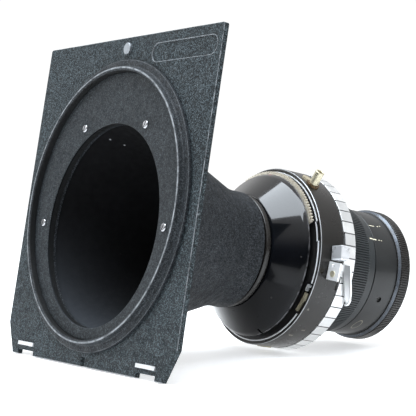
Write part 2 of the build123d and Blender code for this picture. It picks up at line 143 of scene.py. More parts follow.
def loft(name, angles, sections, material, body, *replaced, slot=None, centre=LENS, sharp=30):
    """Closed loops of points round the axis, joined in order and back to the first: sections map an index to (r, w)."""
    bm = bmesh.new()
    rings = [[bm.verts.new(at(*((section(i, a)[0], a, section(i, a)[1])), centre)) for i, a in enumerate(angles)]
             for section in sections]
    total = len(angles)
    for j, ring in enumerate(rings):
        nxt = rings[(j + 1) % len(rings)]
        for i in range(total):
            k = (i + 1) % total
            bm.faces.new((ring[i], ring[k], nxt[k], nxt[i]))
    return place(name, bm, material, body, *replaced, slot=slot, sharp=sharp)


# ------------------------------------------------------------------ node helpers
class Nodes:
    """A material with short calls for the nodes that it needs."""

    def __init__(self, name, **fixed):
        self.material = bpy.data.materials.new(name)
        self.material.use_nodes = True
        self.tree = self.material.node_tree
        self.bsdf = self.tree.nodes["Principled BSDF"]
        for key, value in fixed.items():
            self.bsdf.inputs[key.replace("_", " ").title().replace("Ior", "IOR")].default_value = value
        self.coord = self.tree.nodes.new("ShaderNodeTexCoord").outputs["Object"]

    def node(self, kind, **inputs):
        n = self.tree.nodes.new("ShaderNode" + kind)
        for key, value in inputs.items():
            if key.startswith("set_"):
                setattr(n, key[4:], value)
                continue
            socket = n.inputs[int(key[1:])] if key.startswith("i") and key[1:].isdigit() else n.inputs[key]
            self.feed(socket, value)
        return n

    def feed(self, socket, value):
        if isinstance(value, bpy.types.NodeSocket):
            self.tree.links.new(value, socket)
        else:
            socket.default_value = value

    def math(self, operation, a, b=0.0, clamp=False):
        n = self.node("Math", set_operation=operation, set_use_clamp=clamp, i0=a, i1=b)
        return n.outputs[0]

    def dot(self, vector, direction):
        return self.node("VectorMath", set_operation="DOT_PRODUCT", i0=vector, i1=tuple(direction)).outputs["Value"]

    def noise(self, scale, detail=2.0, rough=0.5, vector=None, distortion=0.0):
        n = self.node("TexNoise", Vector=vector or self.coord, Scale=scale / MM, Detail=detail,
                      Roughness=rough, Distortion=distortion)
        return n.outputs["Fac"]

    def cells(self, scale, feature="F1", vector=None, randomness=1.0):
        n = self.node("TexVoronoi", set_feature=feature, Vector=vector or self.coord, Scale=scale / MM,
                      Randomness=randomness)
        return n.outputs["Distance"]

    def ramp(self, value, *stops):
        n = self.node("ValToRGB", Fac=value)
        elements = n.color_ramp.elements
        while len(elements) < len(stops):
            elements.new(0.5)
        for element, (position, colour) in zip(elements, stops):
            element.position = position
            element.color = colour if len(colour) == 4 else tuple(colour) + (1,)
        return n.outputs["Color"]

    def step(self, value, low, high, start=0.0, end=1.0):
        n = self.node("MapRange", Value=value, set_clamp=True)
        n.inputs["From Min"].default_value = low
        n.inputs["From Max"].default_value = high
        n.inputs["To Min"].default_value = start
        n.inputs["To Max"].default_value = end
        return n.outputs["Result"]

    def band(self, value, low, high, soft=0.05):
        """1 between low and high, and 0 outside."""
        return self.math("MULTIPLY", self.step(value, low - soft, low + soft),
                         self.step(value, high + soft, high - soft))

    def mix(self, factor, a, b, blend="MIX"):
        n = self.node("Mix", set_data_type="RGBA", set_blend_type=blend)
        self.feed(n.inputs[0], factor)
        self.feed(n.inputs[6], a)
        self.feed(n.inputs[7], b)
        return n.outputs[2]

    def bump(self, height, distance, strength=1.0, normal=None):
        n = self.node("Bump", Height=height, Distance=distance * MM, Strength=strength)
        if normal is not None:
            self.tree.links.new(normal, n.inputs["Normal"])
        return n.outputs["Normal"]

    def axis(self, centre=LENS):
        """(radius, angle, station) about the lens axis, in mm and degrees."""
        v = self.node("VectorMath", set_operation="SUBTRACT", i0=self.coord, i1=tuple(centre)).outputs[0]
        x = self.math("MULTIPLY", self.dot(v, X), PER_MM)
        u = self.math("MULTIPLY", self.dot(v, U), PER_MM)
        w = self.math("MULTIPLY", self.dot(v, F), PER_MM)
        radius = self.math("SQRT", self.math("ADD", self.math("MULTIPLY", x, x), self.math("MULTIPLY", u, u)))
        angle = self.math("MULTIPLY", self.math("ARCTAN2", u, x), 180 / pi)
        return radius, angle, w

    def set(self, colour=None, roughness=None, normal=None, metallic=None):
        for key, value in (("Base Color", colour), ("Roughness", roughness), ("Normal", normal),
                           ("Metallic", metallic)):
            if value is not None:
                self.feed(self.bsdf.inputs[key], value)
        return self.material


# ------------------------------------------------------------------ materials
def crinkle_paint(name, dark, mid, light, grain, depth, rough=(0.5, 0.75), specular=0.35, edges=None, shaded_bore=None):
    """Crinkle paint: grains of two sizes, with worn light tips and dust, and painted shade on the wall of a bore."""
    m = Nodes(name, specular_ior_level=specular)
    fine = m.noise(grain, 3.0, 0.6)
    coarse = m.noise(grain * 0.42, 2.0, 0.5)
    cell = m.cells(grain * 0.8)
    height = m.math("ADD", m.math("MULTIPLY", fine, 0.65), m.math("MULTIPLY", m.math("SUBTRACT", 0.9, cell), 0.35))
    height = m.math("ADD", height, m.math("MULTIPLY", coarse, 0.3))
    colour = m.ramp(height, (0.42, dark), (0.60, mid), (0.80, light))
    patches = m.noise(0.05, 3.0, 0.55)
    colour = m.mix(m.step(patches, 0.35, 0.7, 0.0, 0.28), colour, (dark[0], dark[1], dark[2], 1))
    dust = m.math("MULTIPLY", m.step(m.cells(0.16), 0.09, 0.02), m.step(m.noise(0.3, 1.0), 0.58, 0.66))
    colour = m.mix(m.math("MULTIPLY", dust, 0.55), colour, (0.3, 0.32, 0.34, 1))
    if edges is not None:
        colour = m.mix(edges(m), colour, (0.3, 0.32, 0.34, 1))
    # Inside the bore radius the paint is made near black: painted shade on the bore wall.
    if shaded_bore is not None:
        centre, limit = shaded_bore
        colour = m.mix(m.step(m.axis(centre)[0], limit + 0.04, limit), colour, (0.004, 0.0045, 0.005, 1))
    roughness = m.step(m.noise(0.4, 2.0), 0.3, 0.7, *rough)
    return m.set(colour, roughness, m.bump(height, depth))


def board_wear_and_highlight(m):
    """Paint rubbed thin along the board's rear edges, and a light line round the empty label recess: partly rubbed
    paint, partly a painted highlight on the recess rim.
    """
    across = m.math("MULTIPLY", m.dot(m.coord, X), PER_MM)
    rise = m.math("MULTIPLY", m.dot(m.coord, U), PER_MM)
    depth = m.math("MULTIPLY", m.dot(m.coord, F), PER_MM)
    v = m.math("ABSOLUTE", m.math("SUBTRACT", rise, 1.6))
    rim = m.math("MAXIMUM", m.step(m.math("ABSOLUTE", across), 47.8, 47.95), m.step(v, 49.25, 49.45))
    rim = m.math("MULTIPLY", rim, m.step(depth, 0.24, 0.12))
    rim = m.math("MULTIPLY", rim, m.step(m.noise(0.6, 3.0), 0.35, 0.6, 0.15, 0.8))
    # The label recess outline: a painted highlight along its rim, broken up like rubbed paint.
    side = m.math("MAXIMUM", m.math("SUBTRACT", m.math("ABSOLUTE", m.math("SUBTRACT", across, 29.8)), 13.4), 0.0)
    lift = m.math("SUBTRACT", rise, 45.1)
    away = m.math("SQRT", m.math("ADD", m.math("MULTIPLY", side, side), m.math("MULTIPLY", lift, lift)))
    outline = m.math("MULTIPLY", m.band(away, 2.72, 2.95, 0.06), m.step(depth, 0.5, 0.4))
    return m.math("MAXIMUM", rim, m.math("MULTIPLY", outline, m.step(m.noise(0.9, 2.0), 0.3, 0.6, 0.35, 0.75)))


def ring_wear_and_highlight(m):
    """A bright rubbed line along the light-trap ring's rim, and a painted highlight along its outer lip."""
    radius, angle, w = m.axis(TRAP)
    rim = m.math("MULTIPLY", m.band(radius, 40.9, 41.45, 0.12), m.step(w, -2.65, -2.78))
    # The outer lip line: a painted highlight.
    lip = m.math("MULTIPLY", m.band(radius, 43.7, 44.0, 0.06), m.step(w, -0.95, -1.08))
    broken = m.step(m.noise(0.5, 3.0, 0.6), 0.34, 0.6, 0.2, 0.85)
    return m.math("MULTIPLY", m.math("MAXIMUM", rim, m.math("MULTIPLY", lip, 0.9)), broken)


GRAIN = 3.1
board_paint = crinkle_paint("board_crinkle_paint", (0.001, 0.0022, 0.003), (0.0078, 0.0128, 0.0158),
                            (0.105, 0.135, 0.15), GRAIN, 0.18, specular=0.26, edges=board_wear_and_highlight, shaded_bore=(LENS, 30.66))
ring_paint = crinkle_paint("ring_crinkle_paint", (0.0015, 0.0022, 0.003), (0.0075, 0.0105, 0.0135),
                           (0.06, 0.07, 0.08), GRAIN, 0.12, specular=0.3, edges=ring_wear_and_highlight, shaded_bore=(TRAP, 40.36))
cone_paint = crinkle_paint("cone_crinkle_paint", (0.0012, 0.0018, 0.0024), (0.006, 0.0082, 0.0105),
                           (0.06, 0.067, 0.077), 3.3, 0.14, rough=(0.55, 0.8), specular=0.24)
clamp_paint = crinkle_paint("clamp_matt_paint", (0.003, 0.004, 0.005), (0.0115, 0.0155, 0.0185), (0.055, 0.063, 0.07),
                            2.8, 0.07, rough=(0.55, 0.75), specular=0.26)


def matt_black():
    """Inside the cone: nearly no light comes back, with specks of dust and fine turning lines, and painted light on the
    lower side near the mouth that fades deeper in.
    """
    m = Nodes("matt_black_inside", specular_ior_level=0.12)
    radius, angle, w = m.axis()
    lines = m.math("SINE", m.math("MULTIPLY", w, 8.0))
    height = m.math("ADD", m.noise(3.2, 3.0, 0.6), m.math("MULTIPLY", lines, 0.05))
    colour = m.ramp(m.noise(0.09, 3.0), (0.3, (0.0014, 0.0015, 0.0018)), (0.8, (0.003, 0.0033, 0.0038)))
    # Painted light: the lower side is made lighter near the mouth and fades deeper in.
    low = m.step(m.math("MULTIPLY", m.dot(m.coord, U), PER_MM), 4.0, -34.0)
    lit_lower_mouth = m.math("MULTIPLY", low, m.step(w, 34.0, 3.0))
    colour = m.mix(m.math("MULTIPLY", lit_lower_mouth, lit_lower_mouth), colour, (0.03, 0.034, 0.04, 1))
    dust = m.math("MULTIPLY", m.step(m.cells(0.2), 0.08, 0.04), m.step(m.noise(0.21, 1.0), 0.55, 0.62))
    colour = m.mix(m.math("MULTIPLY", dust, 0.9), colour, (0.32, 0.32, 0.34, 1))
    return m.set(colour, m.step(m.noise(0.5), 0.3, 0.7, 0.8, 0.95), m.bump(height, 0.05))


def lacquer(name, colour, tint, rough, coat, wear=0.0, lines=0.0, specks=True, specular=0.5):
    """Black lacquer over turned metal: faint turning lines, dust and hairlines."""
    m = Nodes(name, coat_weight=coat, coat_roughness=0.06, specular_ior_level=specular)
    radius, angle, w = m.axis()
    swirl = m.node("CombineXYZ", X=radius, Y=w, Z=m.math("MULTIPLY", angle, 0.02)).outputs[0]
    turned = m.node("TexNoise", Vector=swirl, Scale=9.0, Detail=2.0, Roughness=0.6).outputs["Fac"]
    cloud = m.noise(0.07, 3.0)
    base = m.ramp(cloud, (0.3, colour), (0.75, tint))
    if specks:
        dust = m.math("MULTIPLY", m.step(m.cells(0.3), 0.1, 0.02), m.step(m.noise(0.35, 1.0), 0.55, 0.66))
        base = m.mix(m.math("MULTIPLY", dust, 0.4), base, (0.24, 0.23, 0.22, 1))
    scratch = m.node("TexNoise", Vector=m.node("Mapping", Vector=m.coord, Rotation=(0.5, 0.9, 0.3),
                                               Scale=(160, 4000, 900)).outputs[0],
                     Scale=1.0, Detail=2.0).outputs["Fac"]
    smear = m.step(m.noise(0.11, 4.0, 0.65), 0.3, 0.75, rough[0], rough[1])
    roughness = m.math("ADD", smear, m.math("MULTIPLY", m.step(scratch, 0.66, 0.74), 0.14))
    height = m.math("ADD", m.math("MULTIPLY", turned, lines), m.math("MULTIPLY", m.noise(0.8, 2.0), 0.3))
    return m, base, roughness, m.bump(height, 0.006)


def gloss_cover():
    m, base, roughness, normal = lacquer("gloss_black_lacquer", (0.002, 0.0023, 0.003), (0.0045, 0.0053, 0.0075),
                                         (0.11, 0.2), 0.2, lines=0.5, specular=0.13)
    radius, angle, w = m.axis()
    red = m.math("MULTIPLY", m.band(angle, 83.5, 87.5, 0.3), m.band(w, 57.7, 58.4, 0.1))
    base = m.mix(red, base, (0.12, 0.01, 0.015, 1))
    edge = m.math("MULTIPLY", m.band(radius, 26.1, 26.3, 0.03), m.step(m.noise(0.5), 0.4, 0.6))
    base = m.mix(m.math("MULTIPLY", edge, 0.3), base, (0.25, 0.25, 0.27, 1))
    # The coat is made stronger towards the top: a painted reflection on the upper side.
    lift = m.math("MULTIPLY", radius, m.math("SINE", m.math("MULTIPLY", angle, pi / 180)))
    m.feed(m.bsdf.inputs["Coat Weight"], m.step(m.math("ADD", lift, m.noise(0.2, 2.0)), 3.0, 12.0, 0.15, 0.85))
    return m.set(base, roughness, normal)


def spots(m, angle, w, rows, soft):
    """A mask of small patches at (angle, station, half width, half length)."""
    total = None
    for a, s, width, length in rows:
        spot = m.math("MULTIPLY", m.band(angle, a - width, a + width, soft), m.band(w, s - length, s + length, 0.08))
        total = spot if total is None else m.math("MAXIMUM", total, spot)
    return total


def painted_dashes(m, base, angle, w, dashes, colour=(0.85, 0.8, 0.62, 1)):
    """Plain pale dashes."""
    total = spots(m, angle, w, dashes, 0.12)
    return m.mix(m.math("MULTIPLY", total, m.step(m.noise(2.0), 0.3, 0.5, 0.6, 1.0)), base, colour)


def case_lacquer(name, lines=0.6, marks=False, bright=None, tone=1.0, rough=(0.24, 0.38), dashes=None,
                 highlight_colour=(0.7, 0.72, 0.75, 1), edge_only=0.0, hue=(0.0052, 0.0046, 0.004)):
    dark = tuple(c * tone for c in hue)
    m, base, roughness, normal = lacquer(name, dark, tuple(c * 2.3 for c in dark), rough, 0.2, lines=lines,
                                         specular=0.36)
    radius, angle, w = m.axis()
    # bright: a band of stations painted light and part metallic, a painted highlight along a rim.
    if bright:
        low, high, amount = bright
        rim = m.math("MULTIPLY", m.band(w, low, high, 0.04), m.step(m.noise(0.3), 0.3, 0.5, 0.6, 1.0))
        rim = m.math("MULTIPLY", m.math("MULTIPLY", rim, amount), m.step(radius, edge_only, edge_only + 0.05))
        base = m.mix(rim, base, highlight_colour)
        m.set(metallic=m.math("MULTIPLY", rim, 0.6))
    if marks:
        total = spots(m, angle, w, ((-57, 64.4, 0.7, 0.9), (-50, 67.0, 0.5, 0.7), (-33, 63.0, 0.4, 0.4)), 0.2)
        broken = m.step(m.noise(1.3), 0.42, 0.6)
        base = m.mix(m.math("MULTIPLY", m.math("MULTIPLY", total, broken), 0.5), base, (0.3, 0.28, 0.22, 1))
    if dashes:
        base = painted_dashes(m, base, angle, w, dashes)
    return m.set(base, roughness, normal)


def barrel_lacquer():
    """The front barrel, with plain pale index dashes and an empty oval."""
    m, base, roughness, normal = lacquer("barrel_black_anodised", (0.0045, 0.0054, 0.006), (0.0115, 0.0132, 0.0142),
                                         (0.26, 0.4), 0.15, lines=0.8, specular=0.4)
    radius, angle, w = m.axis()
    across = m.math("DIVIDE", m.math("ADD", angle, 57.0), 7.6)
    along = m.math("DIVIDE", m.math("SUBTRACT", w, 95.2), 1.35)
    oval = m.math("SQRT", m.math("ADD", m.math("MULTIPLY", across, across), m.math("MULTIPLY", along, along)))
    ring = m.band(oval, 0.84, 1.0, 0.05)
    base = m.mix(m.math("MULTIPLY", ring, 0.55), base, (0.3, 0.28, 0.21, 1))
    base = painted_dashes(m, base, angle, w, (
        (31.0, 92.2, 0.55, 0.6), (31.2, 94.1, 0.35, 0.35), (31.1, 95.1, 0.35, 0.2), (47.5, 93.3, 0.38, 1.2),
        (48.4, 96.2, 0.5, 0.25), (49.6, 97.4, 0.5, 0.25)))
    return m.set(base, roughness, normal)


def metal(name, colour, tint, rough, grain="turned", depth=0.004, tarnish=None, scale=9.0, worn=0.25, amount=0.7,
          extra=None, plated=1.0):
    """Bare or plated metal with a machined grain, rub marks and some tarnish."""
    m = Nodes(name, metallic=plated)
    radius, angle, w = m.axis()
    if grain == "turned":
        vector = m.node("CombineXYZ", X=radius, Y=w, Z=m.math("MULTIPLY", angle, 0.01)).outputs[0]
    else:
        vector = m.node("CombineXYZ", X=radius, Y=m.math("MULTIPLY", w, 0.15),
                        Z=m.math("MULTIPLY", angle, 0.8)).outputs[0]
    lines = m.node("TexNoise", Vector=vector, Scale=scale, Detail=3.0, Roughness=0.65).outputs["Fac"]
    cloud = m.noise(0.35, 3.0, 0.6)
    base = m.ramp(cloud, (0.3, colour), (0.75, tint))
    base = m.mix(m.step(lines, 0.35, 0.7, 0.0, worn), base, (colour[0] * 0.55, colour[1] * 0.55, colour[2] * 0.56, 1))
    if tarnish is not None:
        base = m.mix(m.step(m.noise(0.9, 3.0), 0.52, 0.72, 0.0, amount), base, tarnish)
    if extra is not None:
        base = extra(m, base, radius, angle, w)
    roughness = m.math("ADD", m.step(cloud, 0.3, 0.7, *rough), m.math("MULTIPLY", lines, 0.08))
    return m.set(base, roughness, m.bump(lines, depth))


def facet_tones(m, base, radius, angle, w):
    """Each facet of the speed ring has its own tone, and the mill cuts between them are dark."""
    facet = m.math("DIVIDE", m.math("SUBTRACT", angle, FACET_START), FACET_STEP)
    which = m.math("FLOOR", facet)
    tone = m.node("TexWhiteNoise", set_noise_dimensions="1D", W=which).outputs["Value"]
    base = m.mix(m.step(tone, 0.0, 1.0, 0.0, 0.45), base, (0.42, 0.43, 0.44, 1))
    inside = m.math("ABSOLUTE", m.math("SUBTRACT", m.math("FRACT", facet), 0.5))
    groove = m.math("MULTIPLY", m.step(inside, 0.445, 0.465), m.step(radius, 28.2, 28.4))
    return m.mix(m.math("MULTIPLY", groove, 0.9), base, (0.05, 0.052, 0.056, 1))


def collar_tones(m, base, radius, angle, w):
    """The round collar is dark, and the tag beyond it keeps its colour."""
    return m.mix(m.step(angle, 60.2, 59.2), base, (0.13, 0.085, 0.045, 1))


def strip_painted_shade(m, base, radius, angle, w):
    """The lever's strip is painted dark at its root and lighter towards its end, a painted reflection, and near black
    between stations 65.4 and 66.8, a painted shadow.
    """
    # Painted dark reflection along the strip, strongest at its root.
    low = m.math("MULTIPLY", m.math("MULTIPLY", m.step(radius, 29.84, 29.78), m.step(radius, 28.9, 29.0)),
                 m.step(w, 69.5, 70.5))
    base = m.mix(m.math("MULTIPLY", low, m.step(angle, -6.0, -22.0, 0.85, 0.25)), base, (0.1, 0.105, 0.11, 1))
    # Painted shadow: near black between stations 65.4 and 66.8.
    gap_shadow = m.math("MULTIPLY", m.step(radius, 29.84, 29.78), m.step(w, 66.8, 66.4))
    return m.mix(m.math("MULTIPLY", gap_shadow, m.step(w, 65.42, 65.45)), base, (0.01, 0.01, 0.011, 1))


def plate_tones(m, base, radius, angle, w):
    """The base plate is blackened, with a bright line left along its stepped rim."""
    stepped = m.band(angle, 12.0, 25.5, 0.2)
    rim = m.math("MAXIMUM", m.math("MULTIPLY", stepped, m.band(radius, 26.62, 26.98, 0.03)),
                 m.math("MULTIPLY", m.math("SUBTRACT", 1.0, stepped), m.band(radius, 27.16, 27.6, 0.03)))
    rim = m.math("MULTIPLY", rim, m.step(w, 61.3, 61.2))
    return m.mix(m.math("MULTIPLY", m.step(radius, 17.6, 17.7), m.math("SUBTRACT", 1.0, rim)), base,
                 (0.008, 0.0085, 0.01, 1))


gloss_black = gloss_cover()
# The case's rear chamfer carries a painted highlight line.
case_black = case_lacquer("case_black_lacquer", marks=True, bright=(61.22, 61.4, 0.6), edge_only=28.35)
plate_black = case_lacquer("front_plate_lacquer", rough=(0.3, 0.45))
lock_black = case_lacquer("lock_ring_black", rough=(0.2, 0.34), tone=0.7)
knurl_black = case_lacquer("knurl_black_anodised", rough=(0.3, 0.46), tone=2.2, hue=(0.0042, 0.0052, 0.0058),
                           dashes=((31.0, 90.5, 0.55, 0.75),))
# The bezel's bevel carries a painted bluish highlight.
bezel_black = case_lacquer("bezel_black_anodised", rough=(0.2, 0.36), tone=0.9, bright=(101.25, 101.85, 0.8),
                           highlight_colour=(0.13, 0.148, 0.175, 1))
inner_black = case_lacquer("inner_black_anodised", rough=(0.4, 0.6), tone=0.6)
barrel_black = barrel_lacquer()
matt_inside = matt_black()
silver = metal("ring_satin_silver", (0.80, 0.81, 0.81), (0.9, 0.9, 0.89), (0.3, 0.42), scale=6.0, worn=0.1,
               extra=facet_tones, plated=0.7)
chrome = metal("lever_chrome", (0.82, 0.84, 0.87), (0.88, 0.9, 0.93), (0.22, 0.3), grain="across", worn=0.05,
               plated=0.65)
satin = metal("lever_satin_chrome", (0.80, 0.81, 0.82), (0.88, 0.89, 0.9), (0.38, 0.46), grain="across", worn=0.06,
              extra=strip_painted_shade, plated=0.35)
champagne = metal("aperture_nickel", (0.62, 0.57, 0.48), (0.72, 0.68, 0.58), (0.34, 0.45), worn=0.1, plated=0.5)
brass = metal("socket_brass", (0.62, 0.57, 0.42), (0.72, 0.68, 0.52), (0.3, 0.42), worn=0.12,
              tarnish=(0.42, 0.36, 0.23, 1), amount=0.3, plated=0.7)
collar_brass = metal("collar_brass", (0.5, 0.44, 0.31), (0.62, 0.56, 0.42), (0.3, 0.45), worn=0.15,
                     extra=collar_tones, plated=0.7)
plate_steel = metal("shutter_plate_steel", (0.82, 0.84, 0.87), (0.9, 0.92, 0.94), (0.3, 0.4), worn=0.05,
                    extra=plate_tones, plated=0.15)
pivot_steel = metal("pivot_steel", (0.42, 0.43, 0.45), (0.6, 0.61, 0.63), (0.2, 0.34), worn=0.3)
blade_steel = metal("blade_dark_steel", (0.06, 0.062, 0.068), (0.11, 0.112, 0.12), (0.3, 0.45), worn=0.2)
pad_metal = metal("pad_bright_metal", (0.74, 0.75, 0.76), (0.86, 0.87, 0.88), (0.4, 0.55), grain="across", worn=0.15)
rivet_metal = metal("rivet_dull_metal", (0.30, 0.325, 0.35), (0.38, 0.405, 0.43), (0.4, 0.55), worn=0.2)
screw_metal = metal("screw_worn_steel", (0.36, 0.37, 0.39), (0.6, 0.61, 0.63), (0.14, 0.24), grain="across",
                    worn=0.3)


def lens_glass():
    m = Nodes("coated_glass", roughness=0.02, ior=1.6, transmission_weight=1.0, coat_weight=0.3)
    tint = m.ramp(m.noise(0.03, 2.0), (0.3, (0.86, 0.88, 0.98)), (0.8, (0.8, 0.86, 0.96)))
    return m.set(tint, m.step(m.noise(0.12, 3.0, 0.6), 0.4, 0.8, 0.01, 0.05),
                 m.bump(m.noise(0.05, 1.0), 0.0005))


glass = lens_glass()

carried = {
    "lens_board": board_paint, "flange_screws": screw_metal, "board_pads": pad_metal, "board_rivet": rivet_metal,
    "shutter_plate": plate_steel, "aperture_ring": champagne, "sync_contact": brass, "contact_clip": chrome,
    "shutter_case": case_black, "front_sleeve": inner_black, "flash_socket": brass,
    "socket_collar": collar_brass, "flash_pin": brass, "release_socket": brass, "cocking_lever": chrome,
    "release_lever": satin, "lever_rivet": brass,
    "iris_pivots": pivot_steel, "shutter_pivots": pivot_steel, "blade_plate": inner_black, "drive_ring": pivot_steel,
    "set_screw": inner_black, "front_glass_1": glass, "front_glass_2": glass, "rear_glass_1": glass,
    "rear_glass_2": glass, "front_spacer": inner_black, "front_retainer": bezel_black, "inner_retainer": inner_black,
    "rear_cell": inner_black, "rear_spacer": inner_black, "rear_retainer": bezel_black, "front_barrel": barrel_black,
    "light_trap_ring": ring_paint, "clamp_plate": clamp_paint, "extension_cone": cone_paint, "lock_ring": lock_black,
    "rear_cover": gloss_black, "speed_ring": silver, "front_plate": plate_black, "front_grip": knurl_black,
    "front_bezel": bezel_black,
}
for i in range(1, 6):
    carried[f"iris_blade_{i}"] = blade_steel
    carried[f"shutter_blade_{i}"] = blade_steel
for name, obj in nodes.items():
    obj.data.materials.clear()
    obj.data.materials.append(carried[name])

# ------------------------------------------------------------------ board side
BODY = "lens_mount"
lathe("trap_ring_turned", [(40.3, 0), (43.9, 0), (43.9, -1.0, 0.2), (42.0, -1.1, 0.2), (41.7, -1.5, 0.25),
                           (41.6, -2.5, 0.3), (41.35, -2.8, 0.25), (40.65, -2.8, 0.3), (40.3, -2.4, 0.3)],
      ring_paint, BODY, "light_trap_ring", slot="ring_paint", centre=TRAP, turns=320)


def repaint(obj, material, test):
    """Gives a second material to the faces whose (radius, station) centre passes the test."""
    obj.data.materials.append(material)
    for face in obj.data.polygons:
        v = face.center - LENS
        w = v.dot(F)
        if test((v - F * w).length / MM, w / MM):
            face.material_index = 1


def wedge(r0, r1, a0, a1, w0, w1, steps=12):
    """A sector of a ring as a bmesh, for a cutter or a curved strip."""
    bm = bmesh.new()
    loops = []
    for k in range(steps + 1):
        a = a0 + (a1 - a0) * k / steps
        loops.append([bm.verts.new(at(r, a, w)) for r, w in ((r0, w0), (r1, w0), (r1, w1), (r0, w1))])
    for one, two in zip(loops, loops[1:]):
        for j in range(4):
            bm.faces.new((one[j], one[(j + 1) % 4], two[(j + 1) % 4], two[j]))
    bm.faces.new(loops[0])
    bm.faces.new(reversed(loops[-1]))
    bmesh.ops.recalc_face_normals(bm, faces=bm.faces)
    return bm


def drill(angle, w, radius, depth_from, depth_to, sides=48):
    """A radial cylinder as a bmesh."""
    bm = bmesh.new()
    out = X * cos(radians(angle)) + U * sin(radians(angle))
    side = F.cross(out)
    loops = []
    for depth in (depth_from, depth_to):
        centre = LENS + F * w * MM + out * depth * MM
        turn = [2 * pi * k / sides for k in range(sides)]
        loops.append([bm.verts.new(centre + (F * cos(t) + side * sin(t)) * radius * MM) for t in turn])
    for k in range(sides):
        m = (k + 1) % sides
        bm.faces.new((loops[0][k], loops[0][m], loops[1][m], loops[1][k]))
    bm.faces.new(loops[0])
    bm.faces.new(reversed(loops[1]))
    bmesh.ops.recalc_face_normals(bm, faces=bm.faces)
    return bm


def cut(obj, *cutters, sharp=38):
    """Takes each cutter out of the piece for good."""
    for bm in cutters:
        mesh = bpy.data.meshes.new("cutter")
        bm.to_mesh(mesh)
        bm.free()
        tool = bpy.data.objects.new("cutter", mesh)
        bpy.context.scene.collection.objects.link(tool)
        modifier = obj.modifiers.new("cut", "BOOLEAN")
        modifier.operation = "DIFFERENCE"
        modifier.solver = "EXACT"
        modifier.object = tool
        bpy.context.view_layer.update()
        made = bpy.data.meshes.new_from_object(obj.evaluated_get(bpy.context.evaluated_depsgraph_get()))
        obj.modifiers.remove(modifier)
        bpy.data.objects.remove(tool)
        obj.data = made
    obj.data.shade_smooth()
    obj.data.set_sharp_from_angle(angle=radians(sharp))
    return obj


cone = lathe("cone_spun", [(30.6, 1.62), (38.0, 1.62), (38.0, 3.4, 0.3), (33.4, 3.4, 1.4), (18.5, 40.6, 6.4),
                           (18.5, 47.1, 0.25), (18.1, 47.5, 0.15), (16.25, 47.5), (16.25, 41.5), (16.9, 41.5),
                           (16.9, 39.4, 2.0), (30.6, 3.0, 1.0)],
             cone_paint, BODY, "extension_cone", slot="cone_paint", turns=320)
repaint(cone, matt_inside, lambda r, w: 2.2 < w < 47.4 and r < min(32, 31.2 - (w - 3.0) * 0.376))


def eccentric_plate():
    """The clamp plate: a disc round the light-trap ring's centre with an opening round the lens axis."""
    bm = bmesh.new()
    turns = 320
    loops = [(TRAP, 40.22, 0.02), (TRAP, 40.22, -0.5), (TRAP, 40.1, -0.6), (LENS, 30.95, -0.6), (LENS, 30.75, -0.55),
             (LENS, 30.62, -0.4), (LENS, 30.6, 1.6)]
    rings = [[bm.verts.new(at(r, 360 * k / turns, w, centre)) for k in range(turns)] for centre, r, w in loops]
    for ring, nxt in zip(rings, rings[1:] + rings[:1]):
        for k in range(turns):
            m = (k + 1) % turns
            bm.faces.new((ring[k], ring[m], nxt[m], nxt[k]))
    return bm


clamp = place("clamp_plate_turned", eccentric_plate(), clamp_paint, BODY, "clamp_plate", slot="cone_paint")
repaint(clamp, matt_inside, lambda r, w: r < 30.7 and w > -0.3)

# ------------------------------------------------------------------ shutter, rear side
lathe("lock_ring_turned", [(16.25, 48.0), (17.5, 48.0, 0.2), (18.05, 48.35, 0.2), (17.95, 49.9, 0.2),
                           (17.7, 50.3, 0.15), (16.25, 50.3)], lock_black, BODY, "lock_ring", slot="black_anodised")
cover = lathe("rear_cover_turned", [(16.25, 50.4), (18.1, 50.4, 0.15), (18.45, 50.65, 0.2), (25.5, 57.2, 0.5),
                                    (26.2, 58.4, 0.3), (26.2, 58.75), (24.9, 58.75), (24.5, 57.6), (17.9, 51.4),
                                    (16.25, 51.4)],
              gloss_black, BODY, "rear_cover", slot="gloss_black", turns=384)
cut(cover, wedge(24.2, 27.0, -71.0, -69.2, 56.8, 59.4, 4))

case = lathe("case_turned", [(27.6, 61.2), (28.4, 61.2, 0.05), (28.65, 61.5, 0.12), (28.65, 70.25, 0.1),
                             (28.5, 70.4, 0.1), (16.23, 70.4), (16.23, 69.8), (27.6, 69.8)],
             case_black, BODY, "shutter_case", slot="case_black", turns=384)
cut(case, wedge(26.5, 29.4, -17.0, -4.0, 69.5, 71.5), drill(55.5, 64.4, 1.17, 29.9, 26.0),
    drill(-90, 67.0, 2.3, 29.9, 26.0))


def facets():
    """Angles of the speed ring's facets, with the mill cut between each two."""
    return [FACET_START + FACET_STEP * k + part for k in range(FACETS)
            for part in (-0.36, -0.22, 0.0, 0.22, 0.36, 2.2, 4.0, 5.8)]


def facet_radius(i, angle):
    """Radius of the faceted rim; three of each facet's eight angles are the mill cut, 0.2 mm deep."""
    inside = (angle - FACET_START) % FACET_STEP
    flat = 28.75 * cos(radians(4)) / cos(radians(inside - 4))
    return flat - (0.2 if i % 8 in (1, 2, 3) else 0.0)


def ring_start(i, angle):
    """The ring's rear face, set back at the notch over its first facet."""
    return 71.17 if 12 <= angle % 360 <= 20 else 70.72


